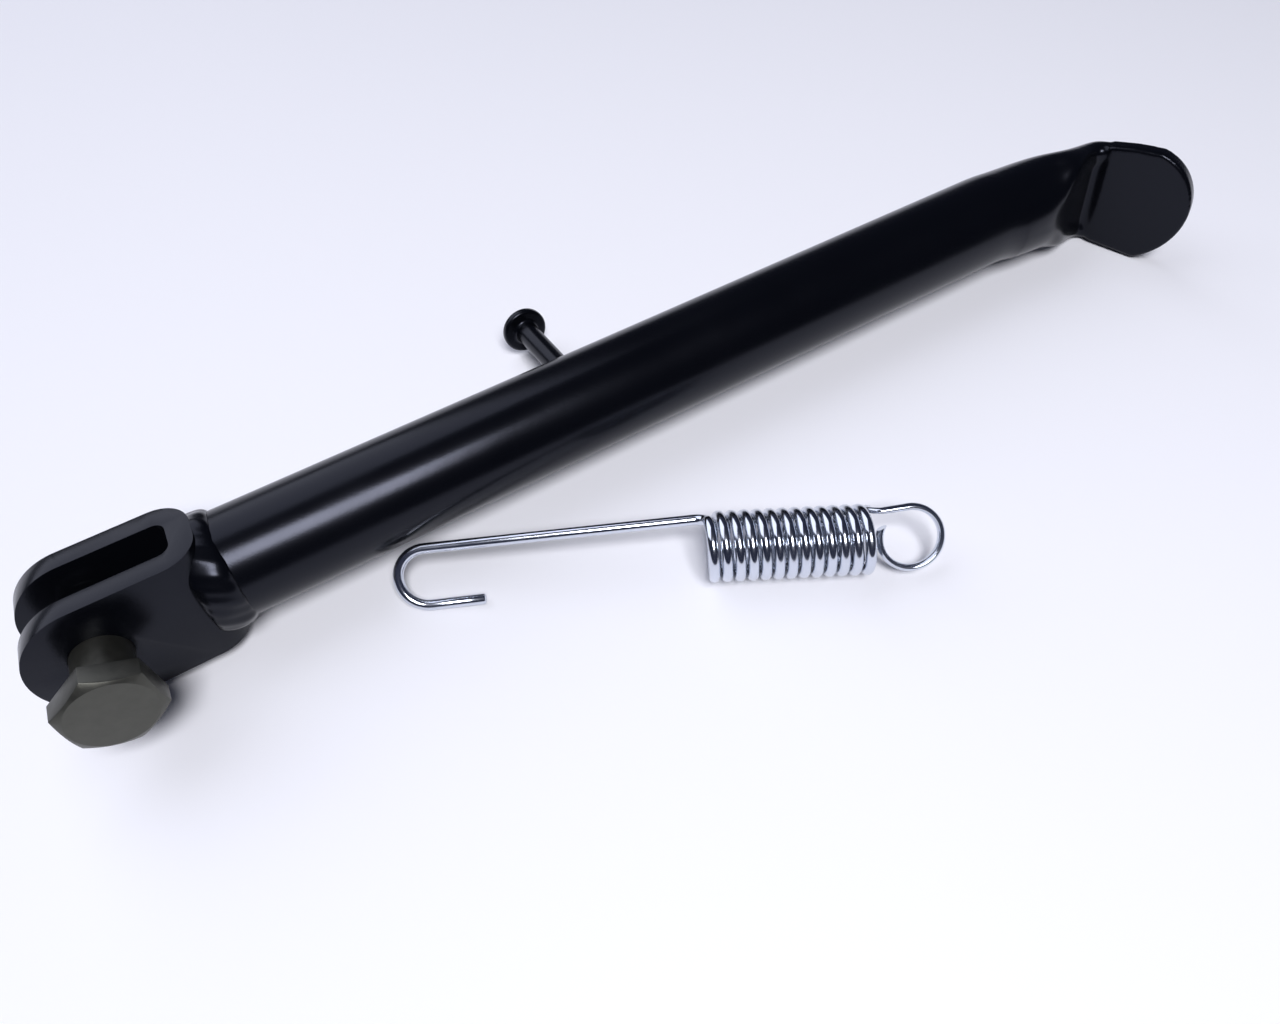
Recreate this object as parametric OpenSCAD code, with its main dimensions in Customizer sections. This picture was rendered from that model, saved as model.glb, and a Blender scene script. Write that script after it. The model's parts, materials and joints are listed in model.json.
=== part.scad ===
// Side stand for a motorcycle, laid out loose on a bench: a painted leg with a U-shaped
// clevis and a pressed foot, its pivot bolt part way in, and its return spring beside it.
// The leg is drawn upright along +X with the bolt along Y, then rolled over by the module
// laid(). The origin is the middle of the pivot bore, and the bench is axis_h below it.

/* [Layout] */
// Roll of the leg about its own axis as it rests on the far ear and the foot, degrees
leg_roll = 12.6; // [0:0.1:20]
// Spring position, forwards from the pivot
spring_x = 123.6; // [100:0.1:140]
// Spring position, out from the leg's centre line towards the bolt head's side
spring_out = 47.1; // [42:0.1:60]
// Turn of the spring seen from above, degrees
spring_turn = -27.8; // [-35:0.1:-20]

/* [Clevis] */
// Radius of the ears' round ends, and half the height of the strip they are bent from
ear_r = 14; // [12:0.1:16]
// Thickness of the bent plate
plate_t = 5; // [4:0.5:6]
// Width of the slot between the ears
slot_w = 10; // [8:0.5:12]
// From the pivot to the closed end of the slot
slot_depth = 21.4; // [19:0.1:26]
// Radius at the inner corners of the bend
inner_bend_r = 2.6; // [1:0.1:4]

/* [Tube] */
// Outside diameter of the leg tube
tube_od = 25; // [22:0.5:28]
// Wall of the leg tube
tube_wall = 2.5; // [1.5:0.1:3]
// From the pivot to the end of the straight run
tube_end_x = 245; // [200:1:260]

/* [Foot] */
// Angle between the leg and the pressed foot, degrees
foot_angle = 62; // [58:1:66]
// Width of the pressed foot
foot_w = 32.2; // [31.5:0.1:32.2]
// Radius of the foot's round end
foot_tip_r = 17.2; // [16.2:0.1:20]
// Length of the straight sides behind the round end
foot_flat = 14; // [13:0.5:15]
// Foot reference point: forwards from the pivot
foot_x = 293.1; // [291:0.1:294]
// Foot reference point: sideways, towards the bolt head's side
foot_out = 20.7; // [19:0.1:22]
// How far the foot sits below the leg's centre line
foot_drop = 4.1; // [3:0.1:4.1]

/* [Pivot bolt] */
// Shank diameter
bolt_d = 12; // [10:1:12]
// Radial clearance of the shank in the ears' bores
bore_gap = 0.1; // [0.05:0.01:0.1]
// Head size across flats
head_af = 18; // [16:1:19]
// Head height
head_h = 5.4; // [5:0.1:8]
// Turn of the hexagon about the bolt's axis, degrees
head_turn = 34; // [0:1:59]
// Length under the head
bolt_len = 35; // [30:1:40]
// Threaded length
thread_len = 17; // [12:1:20]
// How far the head stands off the near ear
bolt_out = 10.8; // [0:0.2:12]

/* [Spring post] */
// From the pivot to the post
post_x = 119.3; // [80:0.1:160]
// Shank diameter of the post
post_d = 6; // [5:0.1:8]
// Head diameter
post_head_d = 12.2; // [10:0.1:14]
// Head thickness
post_head_t = 2.4; // [2:0.1:4]
// Reach from the leg's centre line to the head's outer face
post_reach = 39.6; // [30:0.1:39.6]

/* [Return spring] */
// Wire diameter
wire_d = 2.5; // [2:0.1:2.8]
// Outside diameter of the coil
coil_od = 17; // [15:0.1:20]
// Pitch of the coil
coil_pitch = 2.97; // [2.85:0.01:3.2]
// Number of turns
coil_turns = 13; // [10:1:16]
// Tilt of the hook and eye above the bench, degrees
hook_tilt = 43.6; // [40:0.1:50]
// From the coil to the middle of the hook's bend
hook_reach = 64.7; // [50:0.1:66]
// Radius of the hook's bend to the wire's centre
hook_bend_r = 6.75; // [5:0.05:7]
// Offset of the middle of the hook's bend below the coil's axis
hook_drop = 3.75; // [2:0.05:4]
// From the coil's end to the middle of the eye
eye_reach = 9.3; // [8:0.1:12]
// Length of the hook's straight open end
open_end = 12.5; // [8:0.5:16]

/* [Hidden] */
$fn = 64;
eps = 0.01;
skin = 0.03;                                   // air left between touching nodes

paint = "#15171f";
bolt_grey = "#5d6360";
zinc = "#c9ced6";

half_w = slot_w / 2 + plate_t;                 // half the clevis width
outer_bend_r = inner_bend_r + plate_t;
back_x = slot_depth + plate_t;                 // outer face of the clevis back
tube_r = tube_od / 2;
axis_h = ear_r * cos(leg_roll) + half_w * sin(leg_roll) + 0.02;
bore_r = bolt_d / 2 + bore_gap;
head_y = -(half_w + bolt_out);                 // bearing face of the bolt head
coil_r = (coil_od - wire_d) / 2;
foot_t = 2 * tube_wall;                        // two walls pressed together
foot_tip_back = sqrt(pow(foot_tip_r, 2) - pow(foot_w / 2, 2)); // round end's centre, behind the corners
leave_r = 3;                                   // tight bend from the coil into the hook's plane
leave_angle = asin(leave_r / coil_r);
leave_y = coil_r * cos(leave_angle);

// Lays the upright leg on the bench
module laid() {
    rotate([-leg_roll, 0, 0]) children();
}

// Lays the spring, whose coil runs along +X from the origin, on the bench
module spring_laid() {
    translate([spring_x, -spring_out, coil_od / 2 + 0.02 - axis_h])
        rotate([0, 0, spring_turn]) rotate([hook_tilt, 0, 0]) children();
}

// A cylinder along +Y from y0 to y1
module rod_y(r, y0, y1) {
    translate([0, y0, 0]) rotate([-90, 0, 0]) cylinder(r = r, h = y1 - y0);
}

// A cylinder along +X from x0 to x1
module rod_x(r, x0, x1) {
    translate([x0, 0, 0]) rotate([0, 90, 0]) cylinder(r = r, h = x1 - x0);
}

// A closed skin over rings of points that all have the same count
module skinned(rings) {
    n = len(rings[0]);
    last_ring = len(rings) - 1;
    walls = [for (i = [0:last_ring - 1]) for (k = [0:n - 1])
        [i * n + k, (i + 1) * n + k, (i + 1) * n + (k + 1) % n, i * n + (k + 1) % n]];
    first = [for (k = [0:n - 1]) k];
    last = [for (k = [0:n - 1]) last_ring * n + n - 1 - k];
    polyhedron([for (ring = rings) for (p = ring) p], concat(walls, [first, last]));
}

function unit(v) = v / norm(v);

// Directions along a path, and a normal carried along it without twisting
function tangents(path) = [for (i = [0:len(path) - 1])
    unit(path[min(i + 1, len(path) - 1)] - path[max(i - 1, 0)])];
function carried(t, i, n) = i == len(t) ? [] :
    let (m = unit(n - (n * t[i]) * t[i])) concat([m], carried(t, i + 1, m));

// Round wire along a path of points, with a first normal across it
module wire(path, normal, sides) {
    t = tangents(path);
    n = carried(t, 0, normal);
    skinned([for (i = [0:len(path) - 1]) [for (k = [0:sides - 1])
        path[i] + wire_d / 2 * (cos(360 * k / sides) * n[i] + sin(360 * k / sides) * cross(t[i], n[i]))]]);
}

// A rectangle from the mouth side to x1 with both far corners rounded
module u_outline(half, x1, r) {
    union() {
        translate([-2 * ear_r, -half]) square([2 * ear_r + x1 - r, 2 * half]);
        translate([x1 - r - eps, -half + r]) square([r + eps, 2 * half - 2 * r]);
        for (side = [-1, 1]) translate([x1 - r, side * (half - r)]) circle(r = r);
    }
}

// The bent strip as a solid block, for cutting neighbours to it
module clevis_block(grow = 0) {
    translate([0, 0, -ear_r - grow])
        linear_extrude(2 * ear_r + 2 * grow) u_outline(half_w + grow, back_x + grow, outer_bend_r);
}

module clevis_bracket() {
    color(paint) laid() difference() {
        intersection() {
            translate([0, 0, -ear_r]) linear_extrude(2 * ear_r) difference() {
                u_outline(half_w, back_x, outer_bend_r);
                u_outline(slot_w / 2, slot_depth, inner_bend_r);
            }
            union() {
                rod_y(ear_r, -2 * half_w, 2 * half_w);
                translate([0, -2 * half_w, -ear_r]) cube([2 * back_x, 4 * half_w, 2 * ear_r]);
            }
        }
        rod_y(bore_r, -2 * half_w, 2 * half_w);
    }
}

// The run of weld that joins the clevis back to the tube all the way round
module clevis_weld() {
    color(paint) laid() difference() {
        rotate([0, 90, 0]) rotate_extrude()
            polygon([[tube_r - 2, back_x - 5], [tube_r + 0.4, back_x - 5.6], [tube_r + 1.5, back_x - 3],
                     [tube_r + 1.7, back_x + 0.5], [tube_r + 1.1, back_x + 3.4], [tube_r - 0.5, back_x + 4.8],
                     [tube_r - 2, back_x + 4.8]]);
        clevis_block(skin);
        rod_x(tube_r + skin, back_x - 0.5, back_x + 10);
    }
}

module leg_tube() {
    color(paint) laid() difference() {
        rod_x(tube_r, back_x + skin, tube_end_x);
        rod_x(tube_r - tube_wall, back_x - 1, tube_end_x + 1);
    }
}

// Ring of points round a flattened tube: half width w across and half height h up
function flat_ring(x, out, drop, turn, w, h) = [for (k = [0:31])
    let (a = 360 / 32 * (k + 0.5), across = w * cos(a), up = w * sin(a) + sign(sin(a)) * (h - w))
    [x + across * sin(turn), -out + across * cos(turn), up - drop]];

// The tube's end bends sideways and is pressed flat into a rounded foot
module foot_pad() {
    lap = 2;                                   // how far the neck runs into the flat foot
    fold = 5;                                  // how far behind the flat foot the neck folds
    end_x = foot_x - (foot_flat - lap) * cos(foot_angle) + foot_t / 2 * sin(foot_angle);
    end_out = foot_out - (foot_flat - lap) * sin(foot_angle) - foot_t / 2 * cos(foot_angle);
    fold_x = end_x - (fold + lap) * cos(foot_angle) + 0.5;
    fold_out = end_out - (fold + lap) * sin(foot_angle);
    tip_half = acos(foot_tip_back / foot_tip_r);
    color(paint) laid() {
        skinned([
            flat_ring(tube_end_x + skin, 0, 0, 0, tube_r, tube_r),
            flat_ring(tube_end_x + 13, 0.8, 0.6, 5, tube_r, tube_r + 0.4),
            flat_ring(tube_end_x + 23, 2.2, 0.6, 15, tube_r - 1.4, tube_r + 0.7),
            flat_ring(tube_end_x + 30.5, 4.6, 0.6, 30, tube_r - 4.4, tube_r + 1.5),
            flat_ring(fold_x, fold_out, foot_drop - 1.7, 47, foot_t / 2 + 2, tube_r + 1.6),
            flat_ring(end_x, end_out, foot_drop - 1.45, foot_angle, foot_t / 2 - 0.15, tube_r + 2.4)
        ]);
        translate([foot_x, -foot_out, -foot_drop]) rotate([0, 0, -foot_angle])
            translate([0, foot_t, 0]) rotate([90, 0, 0]) linear_extrude(foot_t)
                polygon(concat(
                    [for (a = [-tip_half:tip_half / 24:tip_half])
                        [foot_tip_r * cos(a) - foot_tip_back, foot_tip_r * sin(a)]],
                    [[-foot_flat / 2, foot_w / 2 + 0.5], [-foot_flat, foot_w / 2 + 0.2],
                     [-foot_flat, -foot_w / 2 + 3.2]]));
    }
}

module spring_post() {
    shank_top = post_reach - post_head_t;
    color(paint) laid() translate([post_x, 0, 0]) difference() {
        rotate([-90, 0, 0]) rotate_extrude()
            polygon([[0, 0], [post_d / 2, 0], [post_d / 2, shank_top - 0.8], [post_head_d / 2 - 0.5, shank_top],
                     [post_head_d / 2, shank_top + 0.5], [post_head_d / 2, post_reach - 0.6],
                     [post_head_d / 2 - 0.6, post_reach], [0, post_reach]]);
        rod_x(tube_r + skin, -20, 20);
    }
}

// Weld fillet round the foot of the post
module post_weld() {
    color(paint) laid() translate([post_x, 0, 0]) difference() {
        rotate([-90, 0, 0]) rotate_extrude()
            polygon([[0, tube_r - 2], [post_d / 2 + 2.6, tube_r - 2], [post_d / 2 + 2, tube_r + 0.4],
                     [post_d / 2 + 0.8, tube_r + 1.5], [0, tube_r + 2.2]]);
        rod_x(tube_r + skin, -20, 20);
        rod_y(post_d / 2 + skin, 0, 30);
    }
}

module pivot_bolt() {
    corner_r = head_af / sqrt(3);
    face_r = head_af / 2 * 0.93;               // flat circle inside the head's chamfer
    rim_r = corner_r + 0.5;
    chamfer = (rim_r - face_r) * tan(30);
    thread_r = bolt_d / 2 - 0.15;
    color(bolt_grey) laid() translate([0, head_y, 0]) {
        intersection() {
            rotate([90, 0, 0]) rotate([0, 0, head_turn]) cylinder(r = corner_r, h = head_h, $fn = 6);
            rotate([90, 0, 0]) translate([0, 0, -1]) rotate_extrude()
                polygon([[0, 0], [rim_r, 0], [rim_r, head_h + 1 - chamfer], [face_r, head_h + 1],
                         [0, head_h + 1]]);
        }
        rotate([-90, 0, 0]) translate([0, 0, -1]) rotate_extrude()
            polygon([[0, 0], [bolt_d / 2, 0], [bolt_d / 2, bolt_len - thread_len + 1],
                     [thread_r, bolt_len - thread_len + 1], [thread_r, bolt_len],
                     [thread_r - 1, bolt_len + 1], [0, bolt_len + 1]]);
    }
}

// Points on an arc of radius r in the spring's XY plane, from angle a0 to a1
function arc(centre, r, a0, a1, n) = [for (i = [0:n])
    let (a = a0 + (a1 - a0) * i / n) [centre[0] + r * cos(a), centre[1] + r * sin(a), 0]];

function coil_point(a) = [a / 360 * coil_pitch, coil_r * cos(a), coil_r * sin(a)];

module spring_coil() {
    step = 20;
    gap = 7;                                   // clear of the bends at both ends, degrees
    first = leave_angle + gap;
    last = 360 * coil_turns - leave_angle - gap;
    steps = round((last - first) / step);
    color(zinc) spring_laid()
        wire([for (i = [0:steps]) coil_point(first + (last - first) * i / steps)], [0, 1, 0], 6);
}

// A tight bend out of the coil, then a full loop that stands in the hook's plane
module spring_eye() {
    x0 = coil_point(360 * coil_turns - leave_angle)[0];
    bend = [for (a = [0:15:90]) [x0 + leave_r - leave_r * cos(a), leave_y, leave_r * sin(a) - leave_r]];
    loop = arc([x0 + eye_reach, 0], coil_r, 96, -200, 30);
    color(zinc) spring_laid() wire(concat(bend, loop), [-1, 0, 0], 12);
}

// A tight bend out of the coil, a long arm, a round bend and a straight open end
module spring_hook() {
    x0 = coil_point(leave_angle)[0];
    bend = [for (a = [0:15:90]) [x0 - leave_r + leave_r * cos(a), leave_y, leave_r - leave_r * sin(a)]];
    turn_back = arc([-hook_reach, -hook_drop], hook_bend_r, 93.5, 274, 18);
    tip = turn_back[18] + open_end * [cos(4), sin(4), 0];
    color(zinc) spring_laid() wire(concat(bend, turn_back, [tip]), [1, 0, 0], 12);
}

clevis_bracket();
clevis_weld();
leg_tube();
foot_pad();
spring_post();
post_weld();
pivot_bolt();
spring_eye();
spring_coil();
spring_hook();
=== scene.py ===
"""Motorcycle side stand lying on a pale table: a painted tubular leg with a forked clevis and a
pressed foot, its hex pivot bolt part way in, and its zinc plated return spring beside it."""

import json
from math import acos, asin, atan2, cos, pi, radians, sin, sqrt, tan

import bmesh
import bpy
from bpy.props import FloatProperty, FloatVectorProperty, PointerProperty
from mathutils import Matrix, Vector, noise


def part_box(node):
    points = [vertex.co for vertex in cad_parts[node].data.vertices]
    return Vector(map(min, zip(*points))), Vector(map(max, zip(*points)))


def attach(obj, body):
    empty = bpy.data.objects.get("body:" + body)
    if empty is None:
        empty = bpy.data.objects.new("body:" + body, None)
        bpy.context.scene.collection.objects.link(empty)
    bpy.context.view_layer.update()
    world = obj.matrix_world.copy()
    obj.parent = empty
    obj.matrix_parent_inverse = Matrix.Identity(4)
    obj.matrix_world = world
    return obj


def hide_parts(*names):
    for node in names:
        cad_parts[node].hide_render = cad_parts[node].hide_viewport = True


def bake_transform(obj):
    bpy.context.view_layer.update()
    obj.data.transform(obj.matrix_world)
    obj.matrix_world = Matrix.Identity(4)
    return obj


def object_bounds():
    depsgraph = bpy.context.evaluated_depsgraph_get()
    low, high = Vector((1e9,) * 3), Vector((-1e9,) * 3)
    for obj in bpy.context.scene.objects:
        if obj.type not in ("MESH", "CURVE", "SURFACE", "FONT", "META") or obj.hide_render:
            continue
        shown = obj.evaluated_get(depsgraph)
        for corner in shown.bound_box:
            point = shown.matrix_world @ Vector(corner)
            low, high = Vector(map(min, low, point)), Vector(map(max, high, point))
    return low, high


bl_info = {
    "name": "Side Stand",
    "version": (1, 0, 0),
    "blender": (4, 5, 0),
    "location": "3D View > Sidebar > Side Stand",
    "description": "Builds a motorcycle side stand with its pivot bolt and return spring",
    "category": "Object",
}

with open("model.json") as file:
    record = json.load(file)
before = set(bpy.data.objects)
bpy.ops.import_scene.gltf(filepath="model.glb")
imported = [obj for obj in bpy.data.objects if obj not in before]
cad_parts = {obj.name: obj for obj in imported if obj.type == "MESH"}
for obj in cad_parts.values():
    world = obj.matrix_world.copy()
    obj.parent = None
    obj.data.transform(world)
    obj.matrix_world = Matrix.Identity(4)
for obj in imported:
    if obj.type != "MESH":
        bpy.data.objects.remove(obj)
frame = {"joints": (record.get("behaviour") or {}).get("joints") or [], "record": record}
CAD_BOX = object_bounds()

MM = 0.001
JOINTS = {j["name"]: j for j in frame["joints"]}
MOUNTS = {m["name"]: m for m in frame["record"]["mounts"]}

# The leg is modelled upright along +X with the bolt along Y, then rolled over as it lies
HINGE = Vector(JOINTS["leg_swing"]["axis"])
LEG_ROLL = atan2(HINGE.z, -HINGE.y)
LAID = Matrix.Rotation(-LEG_ROLL, 4, "X")
TUBE_START, TUBE_END = (corner.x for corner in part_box("leg_tube"))
POST_X = sum(corner.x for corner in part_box("spring_post")) / 2
TABLE_Z = CAD_BOX[0].z

# The spring is modelled with its coil along +X and its hook in the XY plane, then laid down
COIL_DIR = Vector(JOINTS["spring_stretch"]["axis"])
SPRING_TURN = atan2(COIL_DIR.y, COIL_DIR.x)
HOOK_TILT = radians(43.6)
EYE_MIDDLE = Vector(MOUNTS["spring_eye_loop"]["pos_m"])

# The camera looks down on the stand from the bolt head's side
CAMERA_AT = Vector((55.18, -130.45, 172.28)) * MM
CAMERA_RIGHT = Vector((0.85629, -0.51649, 0))
CAMERA_UP = Vector((0.43344, 0.71863, 0.54378))
CAMERA_LENS = 25.3125


class SideStandSizes(bpy.types.PropertyGroup):
    """Sizes of the stand's pieces"""

    ear_r: FloatProperty(
        name="Ear radius", description="Radius of the clevis ears' round ends",
        default=14 * MM, unit="LENGTH")
    plate_t: FloatProperty(
        name="Plate thickness", description="Thickness of the bent clevis strip",
        default=5 * MM, unit="LENGTH")
    slot_w: FloatProperty(
        name="Slot width", description="Gap between the clevis ears",
        default=10 * MM, unit="LENGTH")
    bend_r: FloatProperty(
        name="Bend radius", description="Inner radius of the clevis strip's bends",
        default=2.6 * MM, unit="LENGTH")
    bore_d: FloatProperty(
        name="Bore", description="Diameter of the bores in the ears",
        default=12.2 * MM, unit="LENGTH")
    tube_od: FloatProperty(
        name="Tube diameter", description="Outside diameter of the leg tube",
        default=25 * MM, unit="LENGTH")
    foot_w: FloatProperty(
        name="Foot width", description="Width of the pressed foot",
        default=32.2 * MM, unit="LENGTH")
    foot_t: FloatProperty(
        name="Foot thickness", description="Thickness of the pressed foot, two tube walls",
        default=5 * MM, unit="LENGTH")
    foot_tip_r: FloatProperty(
        name="Foot end radius", description="Radius of the foot's round end",
        default=17.2 * MM, unit="LENGTH")
    foot_angle: FloatProperty(
        name="Foot angle", description="Angle between the leg and the foot",
        default=radians(62), unit="ROTATION")
    bolt_d: FloatProperty(
        name="Bolt diameter", description="Diameter of the bolt's shank",
        default=12 * MM, unit="LENGTH")
    head_af: FloatProperty(
        name="Bolt head width", description="Width of the bolt head across its flats",
        default=18 * MM, unit="LENGTH")
    head_h: FloatProperty(
        name="Bolt head height", description="Height of the bolt head",
        default=5.4 * MM, unit="LENGTH")
    head_turn: FloatProperty(
        name="Bolt head turn", description="Turn of the hexagon about the bolt's axis",
        default=radians(34), unit="ROTATION")
    bolt_len: FloatProperty(
        name="Bolt length", description="Length of the bolt under its head",
        default=35 * MM, unit="LENGTH")
    thread_len: FloatProperty(
        name="Thread length", description="Length of the threaded end",
        default=17 * MM, unit="LENGTH")
    thread_pitch: FloatProperty(
        name="Thread pitch", description="Pitch of the M12 thread",
        default=1.75 * MM, unit="LENGTH")
    bolt_out: FloatProperty(
        name="Bolt stand-off", description="How far the head stands off the near ear",
        default=10.8 * MM, unit="LENGTH")
    post_d: FloatProperty(
        name="Post diameter", description="Diameter of the spring post's shank",
        default=6 * MM, unit="LENGTH")
    post_head_d: FloatProperty(
        name="Post head diameter", description="Diameter of the post's retaining head",
        default=12.2 * MM, unit="LENGTH")
    post_reach: FloatProperty(
        name="Post reach", description="From the leg's centre line to the post's end",
        default=39.6 * MM, unit="LENGTH")
    wire_d: FloatProperty(
        name="Wire diameter", description="Diameter of the spring wire",
        default=2.5 * MM, unit="LENGTH")
    coil_od: FloatProperty(
        name="Coil diameter", description="Outside diameter of the coil",
        default=17 * MM, unit="LENGTH")
    coil_pitch: FloatProperty(
        name="Coil pitch", description="Distance between neighbouring turns",
        default=2.97 * MM, unit="LENGTH")
    coil_turns: FloatProperty(
        name="Coil turns", description="Number of turns in the coil",
        default=13)
    hook_reach: FloatProperty(
        name="Hook reach", description="From the coil to the middle of the hook's bend",
        default=64.7 * MM, unit="LENGTH")
    hook_drop: FloatProperty(
        name="Hook drop", description="Hook bend's middle below the coil's axis",
        default=3.75 * MM, unit="LENGTH")
    hook_r: FloatProperty(
        name="Hook radius", description="Radius of the hook's bend to the wire's centre",
        default=6.75 * MM, unit="LENGTH")
    open_end: FloatProperty(
        name="Open end", description="Length of the hook's straight open end",
        default=12.5 * MM, unit="LENGTH")
    eye_reach: FloatProperty(
        name="Eye reach", description="From the coil's end to the middle of the eye",
        default=9.3 * MM, unit="LENGTH")


def srgb(code):
    """Linear colour of an sRGB hex code such as #15171f"""
    parts = [int(code[i:i + 2], 16) / 255 for i in (1, 3, 5)]
    return [c / 12.92 if c <= 0.04045 else ((c + 0.055) / 1.055) ** 2.4 for c in parts]


class SideStandFinish(bpy.types.PropertyGroup):
    """Colours of the stand's finishes"""

    enamel: FloatVectorProperty(
        name="Enamel", description="Black paint on the leg",
        default=srgb("#06070b"), subtype="COLOR", min=0, max=1)
    phosphate: FloatVectorProperty(
        name="Phosphate", description="Grey conversion coat on the bolt",
        default=srgb("#565650"), subtype="COLOR", min=0, max=1)
    zinc: FloatVectorProperty(
        name="Zinc", description="Bright zinc plate on the spring",
        default=srgb("#d3d8e2"), subtype="COLOR", min=0, max=1)
    table: FloatVectorProperty(
        name="Table", description="Pale surface that the stand lies on",
        default=srgb("#f4f4f8"), subtype="COLOR", min=0, max=1)


# Materials

def add(material, kind, settings=None, links=None):
    """Adds a node, sets its inputs or properties, and links {input: (node, output)}"""
    node = material.node_tree.nodes.new(kind)
    for name, value in (settings or {}).items():
        if name in node.inputs.keys():
            node.inputs[name].default_value = value
        else:
            setattr(node, name, value)
    for name, (source, output) in (links or {}).items():
        material.node_tree.links.new(source.outputs[output], node.inputs[name])
    return node


def blank(name):
    """Empty node material with its output node"""
    material = bpy.data.materials.new(name)
    material.use_nodes = True
    material.node_tree.nodes.clear()
    return material, material.node_tree.nodes.new("ShaderNodeOutputMaterial")


def speckle(material, place, size, detail):
    """Noise texture whose features are about size across"""
    return add(material, "ShaderNodeTexNoise", {"Scale": 1 / size, "Detail": detail},
               {"Vector": (place, "Object")})


def relief(material, source, strength, height, under=None):
    """Bump from a noise texture, laid over another bump if one is given"""
    links = {"Height": (source, "Fac")}
    if under:
        links["Normal"] = (under, "Normal")
    return add(material, "ShaderNodeBump", {"Strength": strength, "Distance": height}, links)


def ramp(material, source, output, stops):
    """Colour ramp through (position, grey level) stops"""
    node = add(material, "ShaderNodeValToRGB", links={"Fac": (source, output)})
    band = node.color_ramp
    while len(band.elements) < len(stops):
        band.elements.new(0.5)
    for element, (position, level) in zip(band.elements, stops):
        element.position = position
        element.color = (level, level, level, 1)
    return node


def make_enamel(colour):
    """Sprayed and baked black enamel: glossy, with slight orange peel and fine grit"""
    material, out = blank("black_stoving_enamel")
    place = add(material, "ShaderNodeTexCoord")
    peel = speckle(material, place, 1.6 * MM, 2.0)
    grit = speckle(material, place, 0.35 * MM, 1.0)
    patches = speckle(material, place, 18 * MM, 3.0)
    rough = ramp(material, patches, "Fac", [(0.3, 0.2), (0.7, 0.26)])
    low = relief(material, peel, 0.25, 0.04 * MM)
    fine = relief(material, grit, 0.45, 0.02 * MM, low)
    shader = add(material, "ShaderNodeBsdfPrincipled",
                 {"Base Color": (*colour, 1), "IOR": 1.52, "Specular IOR Level": 0.26,
                  "Specular Tint": (*srgb("#dfe4fa"), 1)},
                 {"Roughness": (rough, "Color"), "Normal": (fine, "Normal")})
    material.node_tree.links.new(shader.outputs["BSDF"], out.inputs["Surface"])
    return material


def make_phosphate(colour):
    """Forged steel with a dark phosphate and oil coat: dull grey-green metal, finely mottled"""
    material, out = blank("phosphated_steel")
    place = add(material, "ShaderNodeTexCoord")
    mottle = speckle(material, place, 2.5 * MM, 4.0)
    grain = speckle(material, place, 0.3 * MM, 2.0)
    shade = add(material, "ShaderNodeMix", {"data_type": "RGBA", "blend_type": "MIX"},
                {"Factor": (mottle, "Fac")})
    shade.inputs["A"].default_value = (*[c * 0.72 for c in colour], 1)
    shade.inputs["B"].default_value = (*[c * 1.2 for c in colour], 1)
    rough = ramp(material, mottle, "Fac", [(0.3, 0.36), (0.7, 0.48)])
    bump = relief(material, grain, 0.35, 0.03 * MM)
    shader = add(material, "ShaderNodeBsdfPrincipled", {"Metallic": 0.85},
                 {"Base Color": (shade, "Result"), "Roughness": (rough, "Color"),
                  "Normal": (bump, "Normal")})
    material.node_tree.links.new(shader.outputs["BSDF"], out.inputs["Surface"])
    return material


def make_zinc(colour):
    """Drawn spring wire with bright zinc plate: mirror-like, a little blue, with faint drawing marks"""
    material, out = blank("bright_zinc_plate")
    place = add(material, "ShaderNodeTexCoord")
    cloud = speckle(material, place, 6 * MM, 3.0)
    pits = speckle(material, place, 0.5 * MM, 2.0)
    rough = ramp(material, cloud, "Fac", [(0.3, 0.12), (0.7, 0.2)])
    bump = relief(material, pits, 0.2, 0.01 * MM)
    shader = add(material, "ShaderNodeBsdfPrincipled", {"Base Color": (*colour, 1), "Metallic": 1.0},
                 {"Roughness": (rough, "Color"), "Normal": (bump, "Normal")})
    material.node_tree.links.new(shader.outputs["BSDF"], out.inputs["Surface"])
    return material


def make_table(colour):
    """White laminate board with a matt face"""
    material, out = blank("matt_laminate")
    shader = add(material, "ShaderNodeBsdfPrincipled", {"Base Color": (*colour, 1), "Roughness": 0.6})
    material.node_tree.links.new(shader.outputs["BSDF"], out.inputs["Surface"])
    return material


# Shapes

def to_object(bm, name, material, place=LAID, sharp=35):
    """Makes a bmesh an object in its place, smooth but for edges over sharp degrees"""
    bm.transform(place)
    bmesh.ops.remove_doubles(bm, verts=bm.verts, dist=1e-4 * MM)
    bmesh.ops.recalc_face_normals(bm, faces=bm.faces)
    mesh = bpy.data.meshes.new(name)
    bm.to_mesh(mesh)
    bm.free()
    mesh.materials.append(material)
    mesh.shade_smooth()
    mesh.set_sharp_from_angle(angle=radians(sharp))
    piece = bpy.data.objects.new(name, mesh)
    bpy.context.scene.collection.objects.link(piece)
    return piece


def applied(bm, kind, **settings):
    """The bmesh after one modifier, made on a throwaway object"""
    mesh = bpy.data.meshes.new("work")
    bm.to_mesh(mesh)
    bm.free()
    work = bpy.data.objects.new("work", mesh)
    bpy.context.scene.collection.objects.link(work)
    modifier = work.modifiers.new("work", kind)
    for name, value in settings.items():
        setattr(modifier, name, value)
    graph = bpy.context.evaluated_depsgraph_get()
    result = bmesh.new()
    result.from_mesh(work.evaluated_get(graph).to_mesh())
    bpy.data.objects.remove(work)
    return result


def combined(bm, other, operation):
    """Boolean of two closed bmeshes"""
    bmesh.ops.recalc_face_normals(other, faces=other.faces)
    bmesh.ops.recalc_face_normals(bm, faces=bm.faces)
    mesh = bpy.data.meshes.new("cutter")
    other.to_mesh(mesh)
    other.free()
    cutter = bpy.data.objects.new("cutter", mesh)
    bpy.context.scene.collection.objects.link(cutter)
    result = applied(bm, "BOOLEAN", object=cutter, operation=operation, solver="EXACT")
    bpy.data.objects.remove(cutter)
    return result


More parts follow.
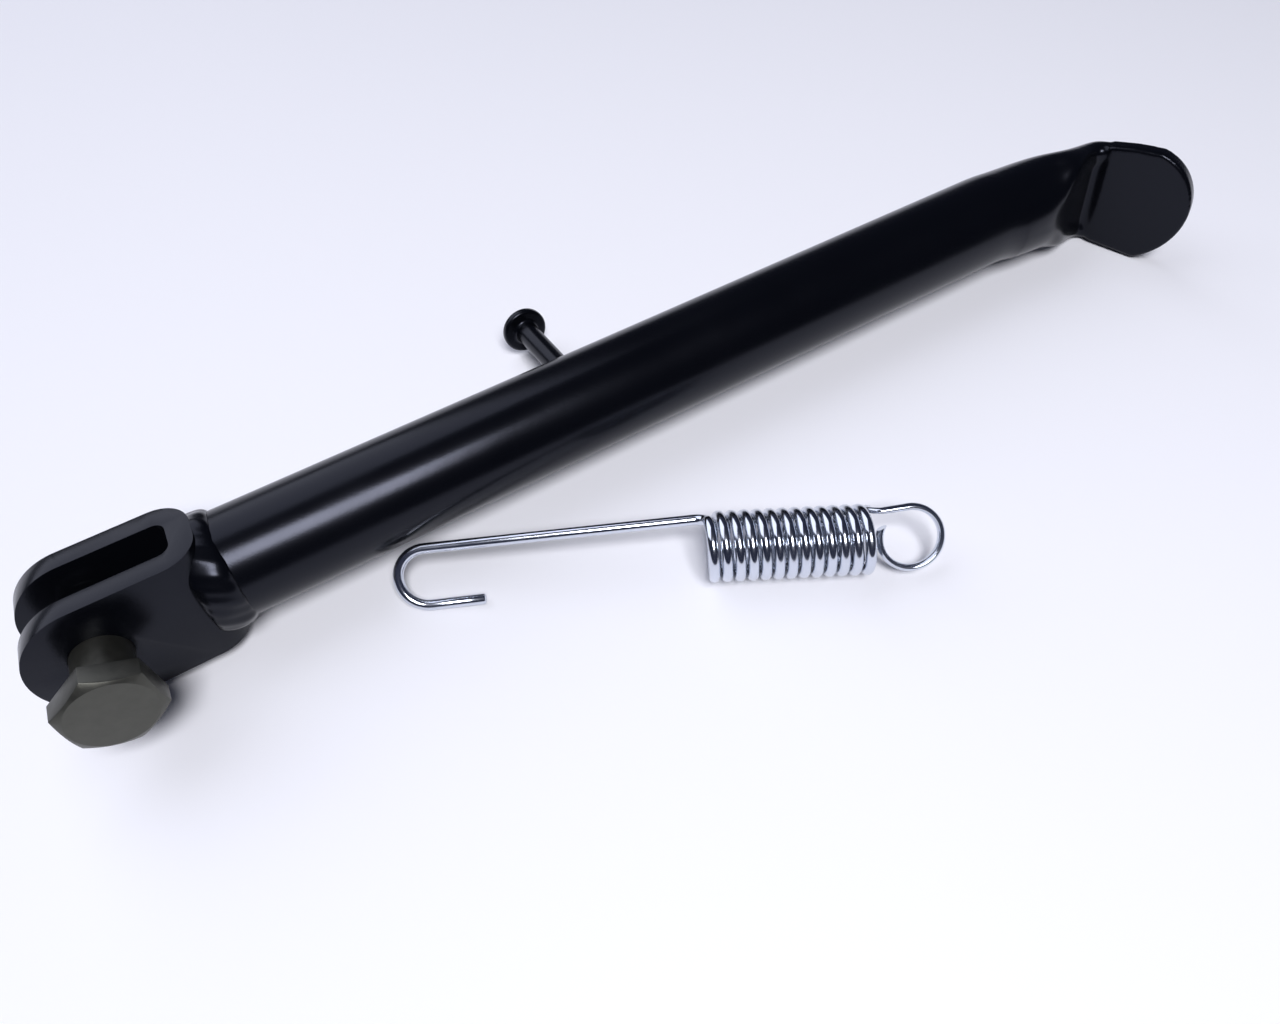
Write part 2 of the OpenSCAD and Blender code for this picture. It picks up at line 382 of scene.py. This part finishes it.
def rod(radius, y0, y1, segments=64):
    """Closed cylinder along Y"""
    bm = bmesh.new()
    middle = Matrix.Translation((0, (y0 + y1) / 2, 0)) @ Matrix.Rotation(pi / 2, 4, "X")
    bmesh.ops.create_cone(bm, cap_ends=True, segments=segments, radius1=radius, radius2=radius,
                          depth=y1 - y0, matrix=middle)
    return bm


def soften(bm, width, segments=3, over=30):
    """Rounds every edge sharper than over degrees"""
    edges = [e for e in bm.edges if len(e.link_faces) == 2 and e.calc_face_angle(0) > radians(over)]
    bmesh.ops.bevel(bm, geom=edges, affect="EDGES", offset=width, offset_type="OFFSET",
                    segments=segments, profile=0.5, material=-1, clamp_overlap=True)


def turned(bm, outline, segments=64):
    """Turns an outline of (radius, y) points about Y; it starts and ends on the axis"""
    verts = [bm.verts.new((r, y, 0)) for r, y in outline]
    edges = [bm.edges.new(pair) for pair in zip(verts, verts[1:])]
    bmesh.ops.spin(bm, geom=verts + edges, cent=(0, 0, 0), axis=(0, 1, 0), angle=2 * pi, steps=segments,
                   use_merge=True)
    bmesh.ops.remove_doubles(bm, verts=bm.verts, dist=1e-3 * MM)


def arc_outline(centre, radius, start, end, steps):
    """Points of an arc in (radius, y) coordinates, angles in degrees"""
    turn = [radians(start + (end - start) * i / steps) for i in range(steps + 1)]
    return [(centre[0] + radius * cos(a), centre[1] + radius * sin(a)) for a in turn]


def box_bm(low, high):
    """Closed box between two corners"""
    bm = bmesh.new()
    size = [b - a for a, b in zip(low, high)]
    middle = [(a + b) / 2 for a, b in zip(low, high)]
    bmesh.ops.create_cube(bm, size=1, matrix=Matrix.Translation(middle) @ Matrix.Diagonal((*size, 1)))
    return bm


def finished(piece, body, slot, *nodes):
    """Parents a piece to its body's empty and hides the CAD parts it stands in for"""
    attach(piece, body)
    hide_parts(*nodes)


class SIDESTAND_OT_clevis(bpy.types.Operator):
    """Bent steel strip with two bored, round-ended ears"""

    bl_idname = "side_stand.clevis"
    bl_label = "Clevis"

    def execute(self, context):
        s = context.scene.side_stand_sizes
        inner, outer = s.slot_w / 2, s.slot_w / 2 + s.plate_t
        back = TUBE_START
        closed_end = back - s.plate_t
        bm = bmesh.new()
        corners = [(-s.ear_r, -outer), (back, -outer), (back, outer), (-s.ear_r, outer),
                   (-s.ear_r, inner), (closed_end, inner), (closed_end, -inner), (-s.ear_r, -inner)]
        verts = [bm.verts.new((x, y, -s.ear_r)) for x, y in corners]
        bm.faces.new(verts)
        for pair, radius in ((verts[1:3], s.bend_r + s.plate_t), (verts[5:7], s.bend_r)):
            bmesh.ops.bevel(bm, geom=pair, affect="VERTICES", offset=radius, offset_type="OFFSET",
                            segments=12, profile=0.5, material=-1)
        strip = bmesh.ops.extrude_face_region(bm, geom=bm.faces[:])
        raised = [v for v in strip["geom"] if isinstance(v, bmesh.types.BMVert)]
        bmesh.ops.translate(bm, verts=raised, vec=(0, 0, 2 * s.ear_r))
        ends = rod(s.ear_r, -2 * outer, 2 * outer, 96)
        middle = box_bm((0, -2 * outer, -s.ear_r), (2 * back, 2 * outer, s.ear_r))
        ends = combined(ends, middle, "UNION")
        bm = combined(bm, ends, "INTERSECT")
        bm = combined(bm, rod(s.bore_d / 2, -2 * outer, 2 * outer), "DIFFERENCE")
        soften(bm, 0.7 * MM)
        piece = to_object(bm, "clevis", bpy.data.materials["black_stoving_enamel"])
        finished(piece, "leg", "black_paint", "clevis_bracket")
        return {"FINISHED"}


class SIDESTAND_OT_clevis_weld(bpy.types.Operator):
    """Hand-laid weld bead round the joint of clevis and tube"""

    bl_idname = "side_stand.clevis_weld"
    bl_label = "Clevis weld"

    def execute(self, context):
        s = context.scene.side_stand_sizes
        bm = bmesh.new()
        r = s.tube_od / 2
        profile = [(r - 2.5 * MM, TUBE_START - 5.2 * MM), (r - 0.2 * MM, TUBE_START - 5.4 * MM),
                   (r + 0.9 * MM, TUBE_START - 3.4 * MM), (r + 1.3 * MM, TUBE_START - 0.8 * MM),
                   (r + 1.1 * MM, TUBE_START + 1.6 * MM), (r + 0.2 * MM, TUBE_START + 3.4 * MM),
                   (r - 2.5 * MM, TUBE_START + 3.6 * MM)]
        verts = [bm.verts.new((x, 0, radius)) for radius, x in profile]
        edges = [bm.edges.new(pair) for pair in zip(verts, verts[1:] + verts[:1])]
        bmesh.ops.spin(bm, geom=verts + edges, cent=(0, 0, 0), axis=(1, 0, 0), angle=2 * pi, steps=96,
                       use_merge=True)
        bm = applied(bm, "SUBSURF", levels=2, render_levels=2)
        for v in bm.verts:
            angle = atan2(v.co.y, v.co.z)
            outward = Vector((0, v.co.y, v.co.z)).normalized()
            ripple = 0.05 * MM * sin(angle * 24 + v.co.x / MM * 0.9)
            lump = 0.8 * MM * noise.noise(v.co / (7 * MM))
            v.co += outward * (ripple + lump)
        piece = to_object(bm, "clevis_weld_bead", bpy.data.materials["black_stoving_enamel"], sharp=180)
        finished(piece, "leg", "black_paint", "clevis_weld")
        return {"FINISHED"}


class SIDESTAND_OT_leg(bpy.types.Operator):
    """Leg tube, with its end bent sideways and pressed flat into the foot"""

    bl_idname = "side_stand.leg"
    bl_label = "Leg and foot"

    voxel = 0.45 * MM
    foot_flat = 14 * MM          # length of the foot's straight sides behind its round end
    lap = 2 * MM                 # how far the neck runs into the flat foot
    fold_back = 7 * MM           # from the neck's end back to its fold
    sole_back = 1 * MM           # from the round end's corners back to the sole mount
    overlap = 20 * MM            # the neck starts this far inside the tube and is trimmed
    join = 3 * MM                # the tube's last ring stands this far short of the trimmed neck
    settle = 9 * MM              # the neck is drawn to the tube's roundness over this length

    def section(self, bm, x, out, drop, turn, half_t, half_h, dish):
        """One flattened ring of the neck, its near wall pressed in by dish at half height"""
        ring = bmesh.ops.create_circle(bm, cap_ends=False, segments=48, radius=1)["verts"]
        for v in ring:
            a = atan2(v.co.y, v.co.x)
            across, up = half_t * cos(a), half_t * sin(a)
            up += (half_h - half_t) * (up > 0) - (half_h - half_t) * (up < 0)
            across += dish * max(0, -cos(a)) * (1 - (up / half_h) ** 2)
            v.co = (across * sin(turn) + x, across * cos(turn) - out, up - drop)
        return [e for e in bm.edges if e.verts[0] in ring and e.verts[1] in ring]

    def eased(self, stations, steps=5):
        """Stations with more laid smoothly between them, each value on a Catmull-Rom curve"""
        result = [stations[0]]
        for i in range(1, len(stations)):
            before, a, b = stations[max(i - 2, 0)], stations[i - 1], stations[i]
            after = stations[min(i + 1, len(stations) - 1)]
            for step in range(1, steps + 1):
                t = step / steps
                result.append([0.5 * (2 * q + (r - p) * t + (2 * p - 5 * q + 4 * r - z) * t * t
                                      + (3 * q - p - 3 * r + z) * t ** 3)
                               for p, q, r, z in zip(before, a, b, after)])
        return result

    def neck(self, s, r, foot_at, across, along):
        """Tube end that bends sideways and flattens, as closed rings from the tube to the foot"""
        end = foot_at - along * (self.foot_flat - self.lap) + across * s.foot_t / 2
        fold = end - along * self.fold_back + Vector((0.5 * MM, 0, 0))
        drop = -foot_at.z
        stations = [
            (TUBE_END - self.overlap, 0, 0, 0, r, r, 0),
            (TUBE_END, 0, 0, 0, r, r, 0),
            (TUBE_END + 13 * MM, 0.8 * MM, 0.6 * MM, radians(5), r, r + 0.4 * MM, 0),
            (TUBE_END + 23 * MM, 2.2 * MM, 0.6 * MM, radians(15), r - 1.4 * MM, r + 0.7 * MM, 0),
            (TUBE_END + 30.5 * MM, 5.4 * MM, 0.6 * MM, radians(30), r - 3.5 * MM, r + 1.5 * MM, 3 * MM),
            (fold.x, -fold.y + 1.3 * MM, drop - 1.5 * MM, radians(47), s.foot_t / 2 + 3.9 * MM,
             r + 1.9 * MM, 6 * MM),
            (end.x, -end.y, drop - 1.45 * MM, s.foot_angle, s.foot_t / 2 - 0.15 * MM,
             r + 2.4 * MM, 0),
        ]
        bm = bmesh.new()
        rings = [self.section(bm, *station) for station in self.eased(stations)]
        for one, two in zip(rings, rings[1:]):
            bmesh.ops.bridge_loops(bm, edges=one + two)
        for ring in (rings[0], rings[-1]):
            bmesh.ops.holes_fill(bm, edges=ring, sides=0)
        return bm

    def plate(self, s, foot_at, across, along):
        """Flat foot with a round end"""
        back = sqrt(s.foot_tip_r ** 2 - (s.foot_w / 2) ** 2)
        spread = acos(back / s.foot_tip_r)
        outline = [(s.foot_tip_r * cos(a) - back, s.foot_tip_r * sin(a))
                   for a in (spread * (i / 24 - 1) for i in range(49))]
        outline += [(-self.foot_flat / 2, s.foot_w / 2 + 0.5 * MM),
                    (-self.foot_flat, s.foot_w / 2 + 0.2 * MM),
                    (-self.foot_flat, -s.foot_w / 2 + 3.2 * MM)]
        bm = bmesh.new()
        face = bm.faces.new([bm.verts.new(foot_at + along * x + Vector((0, 0, z)))
                             for x, z in outline])
        thick = bmesh.ops.extrude_face_region(bm, geom=[face])
        far = [v for v in thick["geom"] if isinstance(v, bmesh.types.BMVert)]
        bmesh.ops.translate(bm, verts=far, vec=across * s.foot_t)
        soften(bm, 0.6 * MM, 2, 50)
        return bm

    def add_tube(self, bm, r):
        """Trims the neck where the straight run ends and draws the tube back to the clevis"""
        cut = bmesh.ops.bisect_plane(bm, geom=bm.verts[:] + bm.edges[:] + bm.faces[:], dist=1e-6,
                                     plane_co=(TUBE_END, 0, 0), plane_no=(1, 0, 0), clear_inner=True)
        rim = [e for e in cut["geom_cut"] if isinstance(e, bmesh.types.BMEdge)]
        place = Matrix.Translation((TUBE_END - self.join, 0, 0)) @ Matrix.Rotation(pi / 2, 4, "Y")
        tube = bmesh.ops.create_circle(bm, cap_ends=False, segments=128, radius=r, matrix=place)
        start = [e for e in bm.edges if all(v in tube["verts"] for v in e.verts)]
        bmesh.ops.bridge_loops(bm, edges=rim + start)
        run = bmesh.ops.extrude_edge_only(bm, edges=start)["geom"]
        moved = [v for v in run if isinstance(v, bmesh.types.BMVert)]
        length = TUBE_START + 0.03 * MM - TUBE_END + self.join
        bmesh.ops.translate(bm, verts=moved, vec=(length, 0, 0))
        bmesh.ops.holes_fill(bm, edges=[e for e in run if isinstance(e, bmesh.types.BMEdge)], sides=0)

    def execute(self, context):
        s = context.scene.side_stand_sizes
        r = s.tube_od / 2
        sole = MOUNTS["sole"]
        sole_at = LAID.inverted() @ Vector(sole["pos_m"])
        across = Vector((sin(s.foot_angle), cos(s.foot_angle), 0))
        along = Vector((cos(s.foot_angle), -sin(s.foot_angle), 0))
        foot_at = sole_at - across * s.foot_t + along * self.sole_back
        neck = self.neck(s, r, foot_at, across, along)
        bm = combined(neck, self.plate(s, foot_at, across, along), "UNION")
        bm = applied(bm, "REMESH", mode="VOXEL", voxel_size=self.voxel, adaptivity=0)
        bm = applied(bm, "SMOOTH", factor=0.5, iterations=10)
        for v in bm.verts:
            level = Vector((v.co.y, v.co.z))
            share = min(1, (TUBE_END + self.settle - v.co.x) / (self.settle - 1 * MM))
            if share > 0 and level.length > r - 2 * MM:
                v.co.y, v.co.z = level.lerp(level.normalized() * r, share)
        self.add_tube(bm, r)
        enamel = bpy.data.materials["black_stoving_enamel"]
        piece = to_object(bm, "leg_with_pressed_foot", enamel, sharp=60)
        finished(piece, "leg", "black_paint", "leg_tube", "foot_pad")
        return {"FINISHED"}


class SIDESTAND_OT_spring_post(bpy.types.Operator):
    """Headed post that the spring's hook pulls on, with its weld"""

    bl_idname = "side_stand.spring_post"
    bl_label = "Spring post"

    def execute(self, context):
        s = context.scene.side_stand_sizes
        enamel = bpy.data.materials["black_stoving_enamel"]
        shank, head = s.post_d / 2, s.post_head_d / 2
        under = s.post_reach - 2.4 * MM
        outline = [(0, 9 * MM), (shank, 9 * MM), (shank, under - 1 * MM)]
        outline += arc_outline((shank + 1 * MM, under - 1 * MM), 1 * MM, 180, 90, 6)
        outline += arc_outline((head - 0.8 * MM, under + 0.8 * MM), 0.8 * MM, -90, 0, 6)
        outline += arc_outline((head - 0.9 * MM, s.post_reach - 0.9 * MM), 0.9 * MM, 0, 90, 6)
        outline += [(head * 0.5, s.post_reach), (0, s.post_reach)]
        bm = bmesh.new()
        turned(bm, outline)
        stand = LAID @ Matrix.Translation((POST_X, 0, 0))
        post = to_object(bm, "spring_post_pin", enamel, stand)
        finished(post, "leg", "black_paint", "spring_post")
        r = s.tube_od / 2
        fillet = [(0, r - 3 * MM), (shank + 2.6 * MM, r - 3 * MM)]
        fillet += arc_outline((shank + 2.9 * MM, r + 1.6 * MM), 2.4 * MM, -95, -175, 8)
        fillet += [(0, r + 1.8 * MM)]
        bm = bmesh.new()
        turned(bm, fillet, 72)
        for v in bm.verts:
            outward = Vector((v.co.x, 0, v.co.z))
            if outward.length > shank * 0.5:
                v.co += outward.normalized() * 0.3 * MM * noise.noise(v.co / (2 * MM))
        bead = to_object(bm, "post_weld_bead", enamel, stand)
        finished(bead, "leg", "black_paint", "post_weld")
        return {"FINISHED"}


class SIDESTAND_OT_pivot_bolt(bpy.types.Operator):
    """Hex head bolt with a chamfered head, a plain shank and a rolled thread"""

    bl_idname = "side_stand.pivot_bolt"
    bl_label = "Pivot bolt"

    def execute(self, context):
        s = context.scene.side_stand_sizes
        seat = -(s.slot_w / 2 + s.plate_t + s.bolt_out)
        corner_r = s.head_af / sqrt(3)
        face_r = s.head_af / 2 * 0.93
        rim_r = corner_r + 0.5 * MM
        slope = (rim_r - face_r) * tan(radians(30))
        hexagon = bmesh.new()
        # create_cone starts at local Y, and head_turn counts from the leg's X towards its Z
        turn = Matrix.Rotation(s.head_turn - pi / 2, 4, "Z")
        upright = Matrix.Translation((0, seat - s.head_h / 2, 0)) @ Matrix.Rotation(pi / 2, 4, "X")
        bmesh.ops.create_cone(hexagon, cap_ends=True, segments=6, radius1=corner_r, radius2=corner_r,
                              depth=s.head_h, matrix=upright @ turn)
        top = seat - s.head_h
        cone = bmesh.new()
        turned(cone, [(0, seat + 1 * MM), (rim_r, seat + 1 * MM), (rim_r, top + slope),
                      (face_r, top), (0, top)], 96)
        head = combined(hexagon, cone, "INTERSECT")
        soften(head, 0.18 * MM, 2, 20)
        body = bmesh.new()
        radius = s.bolt_d / 2
        depth = 0.6134 * s.thread_pitch
        thread_at = seat + s.bolt_len - s.thread_len
        end = seat + s.bolt_len
        root = radius - depth
        fillet = 0.6 * MM
        shank = [(0, seat - 1 * MM), (radius + fillet, seat - 1 * MM), (radius + fillet, seat)]
        shank += arc_outline((radius + fillet, seat + fillet), fillet, -90, -180, 4)
        shank += [(radius, thread_at), (root, thread_at + 1.2 * MM), (root, end - 0.6 * MM),
                  (root - 0.6 * MM, end), (0, end)]
        turned(body, shank)
        self.add_thread(body, radius, depth, s.thread_pitch, thread_at + 0.2 * MM, end - 0.4 * MM)
        head_mesh = bpy.data.meshes.new("head")
        head.to_mesh(head_mesh)
        head.free()
        body.from_mesh(head_mesh)
        piece = to_object(body, "pivot_bolt_m12", bpy.data.materials["phosphated_steel"])
        finished(piece, "bolt", "bolt_steel", "pivot_bolt")
        return {"FINISHED"}

    def add_thread(self, bm, radius, depth, pitch, low, high):
        """Rolled thread: a ridge profile spun about the bolt's axis, one pitch up for each turn"""
        turns = int((high - low) / pitch) - 1
        root = radius - depth - 0.05 * MM
        flank, crest = 0.44 * pitch, 0.12 * pitch
        top = radius - 0.02 * MM
        profile = [(root, 0), (top, flank), (top, flank + crest), (root, 2 * flank + crest)]
        verts = [bm.verts.new((r, low + y, 0)) for r, y in profile]
        edges = [bm.edges.new(pair) for pair in zip(verts, verts[1:] + verts[:1])]
        steps = 48
        end = bmesh.ops.spin(bm, geom=verts + edges, cent=(0, 0, 0), axis=(0, 1, 0),
                             angle=2 * pi * turns, steps=steps * turns,
                             dvec=(0, pitch / steps, 0))["geom_last"]
        bm.faces.new(verts)
        bm.faces.new([g for g in end if isinstance(g, bmesh.types.BMVert)])


class SIDESTAND_OT_return_spring(bpy.types.Operator):
    """Return spring wound from one wire: hook, long arm, close coil and eye"""

    bl_idname = "side_stand.return_spring"
    bl_label = "Return spring"

    def straight(self, bm, ring, offset):
        """Draws the wire's end ring on in a straight line"""
        run = bmesh.ops.extrude_edge_only(bm, edges=ring)["geom"]
        verts = [g for g in run if isinstance(g, bmesh.types.BMVert)]
        bmesh.ops.translate(bm, verts=verts, vec=offset)
        return [g for g in run
                if isinstance(g, bmesh.types.BMEdge) and all(v in verts for v in g.verts)]

    def curved(self, bm, ring, centre, axis, angle, steps, rise=(0, 0, 0)):
        """Draws the wire's end ring on round an axis, with rise along it in all"""
        verts = list({v for e in ring for v in e.verts})
        run = bmesh.ops.spin(bm, geom=verts + ring, cent=centre, axis=axis, angle=angle, steps=steps,
                             dvec=Vector(rise) / steps)["geom_last"]
        return [g for g in run if isinstance(g, bmesh.types.BMEdge)]

    def middle(self, ring):
        """Centre of the wire at a ring"""
        verts = list({v for e in ring for v in e.verts})
        return sum((v.co for v in verts), Vector()) / len(verts)

    def execute(self, context):
        s = context.scene.side_stand_sizes
        coil_r = (s.coil_od - s.wire_d) / 2
        leave_r = 3 * MM
        leave = asin(leave_r / coil_r)
        leave_y = coil_r * cos(leave)
        coil_start = leave / (2 * pi) * s.coil_pitch
        coil_end = s.coil_turns * s.coil_pitch - coil_start
        hook = Vector((-s.hook_reach, -s.hook_drop, 0))
        bm = bmesh.new()
        lift = radians(4)            # the open end rises this much towards the coil
        tip_dir = Vector((cos(lift), sin(lift), 0))
        low = hook + s.hook_r * Vector((cos(lift - pi / 2), sin(lift - pi / 2), 0))
        tip = low + tip_dir * s.open_end
        facing = tip_dir.to_track_quat("Z", "Y").to_matrix().to_4x4()
        chamfer = 0.25 * MM
        bmesh.ops.create_circle(bm, cap_ends=True, segments=20, radius=s.wire_d / 2 - chamfer,
                                matrix=Matrix.Translation(tip) @ facing)
        ring = bm.edges[:]
        ring = self.straight(bm, ring, -tip_dir * chamfer)
        verts = list({v for e in ring for v in e.verts})
        centre = self.middle(ring)
        for v in verts:
            v.co = centre + (v.co - centre).normalized() * s.wire_d / 2
        ring = self.straight(bm, ring, low - self.middle(ring))
        ring = self.curved(bm, ring, hook, (0, 0, 1), -radians(180.5), 32)
        arm_end = Vector((coil_start - leave_r, leave_y, 0))
        for part in range(6):
            ring = self.straight(bm, ring, (arm_end - self.middle(ring)) / (6 - part))
        ring = self.curved(bm, ring, arm_end + Vector((0, 0, leave_r)), (0, 1, 0), -pi / 2, 10)
        sweep = 2 * pi * s.coil_turns - 2 * leave
        ring = self.curved(bm, ring, (0, 0, 0), (1, 0, 0), sweep, int(s.coil_turns * 48),
                           (coil_end - coil_start, 0, 0))
        ring = self.curved(bm, ring, (coil_end + leave_r, leave_y, -leave_r), (0, 1, 0), pi / 2, 10)
        eye = Vector((coil_end + s.eye_reach, 0, 0))
        join = radians(96)
        loop_start = eye + coil_r * Vector((cos(join), sin(join), 0))
        ring = self.straight(bm, ring, loop_start - self.middle(ring))
        ring = self.curved(bm, ring, eye, (0, 0, 1), -radians(296), 56)
        bmesh.ops.holes_fill(bm, edges=ring, sides=0)
        lay = Matrix.Rotation(SPRING_TURN, 4, "Z") @ Matrix.Rotation(HOOK_TILT, 4, "X")
        lay = Matrix.Translation(EYE_MIDDLE - lay @ eye) @ lay
        zinc = bpy.data.materials["bright_zinc_plate"]
        piece = to_object(bm, "return_spring_wire", zinc, lay, 50)
        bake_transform(piece)
        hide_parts("spring_hook", "spring_coil", "spring_eye")
        return {"FINISHED"}


class SIDESTAND_OT_finishes(bpy.types.Operator):
    """Materials of the stand and the table"""

    bl_idname = "side_stand.finishes"
    bl_label = "Finishes"

    def execute(self, context):
        f = context.scene.side_stand_finish
        make_enamel(f.enamel)
        make_phosphate(f.phosphate)
        make_zinc(f.zinc)
        make_table(f.table)
        return {"FINISHED"}


class SIDESTAND_OT_stage(bpy.types.Operator):
    """Table, soft studio lights and camera"""

    bl_idname = "side_stand.stage"
    bl_label = "Stage"

    def execute(self, context):
        bm = bmesh.new()
        bmesh.ops.create_grid(bm, x_segments=1, y_segments=1, size=3.0,
                              matrix=Matrix.Translation((0, 0, TABLE_Z)))
        table = to_object(bm, "table", bpy.data.materials["matt_laminate"], Matrix())
        lights = [
            ("window_behind", (-0.45, 1.3, 1.3), 2.2, 25, "#eceffd"),
            ("ceiling_front", (0.0, -0.5, 0.95), 0.42, 10.5, "#fafaff"),
        ]
        for name, at, size, power, colour in lights:
            light = bpy.data.lights.new(name, "AREA")
            light.shape = "SQUARE"
            light.size = size
            light.energy = power
            light.color = srgb(colour)
            lamp = bpy.data.objects.new(name, light)
            lamp.location = at
            aim = Vector((0.15, 0, 0)) - Vector(at)
            lamp.rotation_euler = aim.to_track_quat("-Z", "Y").to_euler()
            context.scene.collection.objects.link(lamp)
        world = bpy.data.worlds.new("studio")
        world.use_nodes = True
        background = world.node_tree.nodes["Background"]
        background.inputs["Color"].default_value = (*srgb("#8088b0"), 1)
        background.inputs["Strength"].default_value = 0.12
        context.scene.world = world
        context.scene.view_settings.view_transform = "Standard"
        camera = bpy.data.cameras.new("camera")
        camera.lens = CAMERA_LENS
        camera.sensor_width = 36
        camera.clip_start = 0.01
        eye = bpy.data.objects.new("camera", camera)
        back = CAMERA_RIGHT.cross(CAMERA_UP)
        turn = Matrix((CAMERA_RIGHT, CAMERA_UP, back)).transposed().to_4x4()
        eye.matrix_world = Matrix.Translation(CAMERA_AT) @ turn
        context.scene.collection.objects.link(eye)
        context.scene.camera = eye
        return {"FINISHED"}


STEPS = (SIDESTAND_OT_finishes, SIDESTAND_OT_stage, SIDESTAND_OT_clevis, SIDESTAND_OT_clevis_weld,
         SIDESTAND_OT_leg, SIDESTAND_OT_spring_post, SIDESTAND_OT_pivot_bolt, SIDESTAND_OT_return_spring)


class SIDESTAND_PT_panel(bpy.types.Panel):
    """Lists the stand's pieces in the sidebar"""

    bl_idname = "SIDESTAND_PT_panel"
    bl_label = "Side Stand"
    bl_space_type = "VIEW_3D"
    bl_region_type = "UI"
    bl_category = "Side Stand"

    def draw(self, context):
        for step in STEPS:
            self.layout.operator(step.bl_idname)


CLASSES = (SideStandSizes, SideStandFinish, *STEPS, SIDESTAND_PT_panel)


def register():
    for cls in CLASSES:
        bpy.utils.register_class(cls)
    bpy.types.Scene.side_stand_sizes = PointerProperty(type=SideStandSizes)
    bpy.types.Scene.side_stand_finish = PointerProperty(type=SideStandFinish)


def unregister():
    del bpy.types.Scene.side_stand_sizes
    del bpy.types.Scene.side_stand_finish
    for cls in reversed(CLASSES):
        bpy.utils.unregister_class(cls)


def main():
    register()
    for step in STEPS:
        group, name = step.bl_idname.split(".")
        getattr(getattr(bpy.ops, group), name)()


if __name__ == "__main__":
    main()
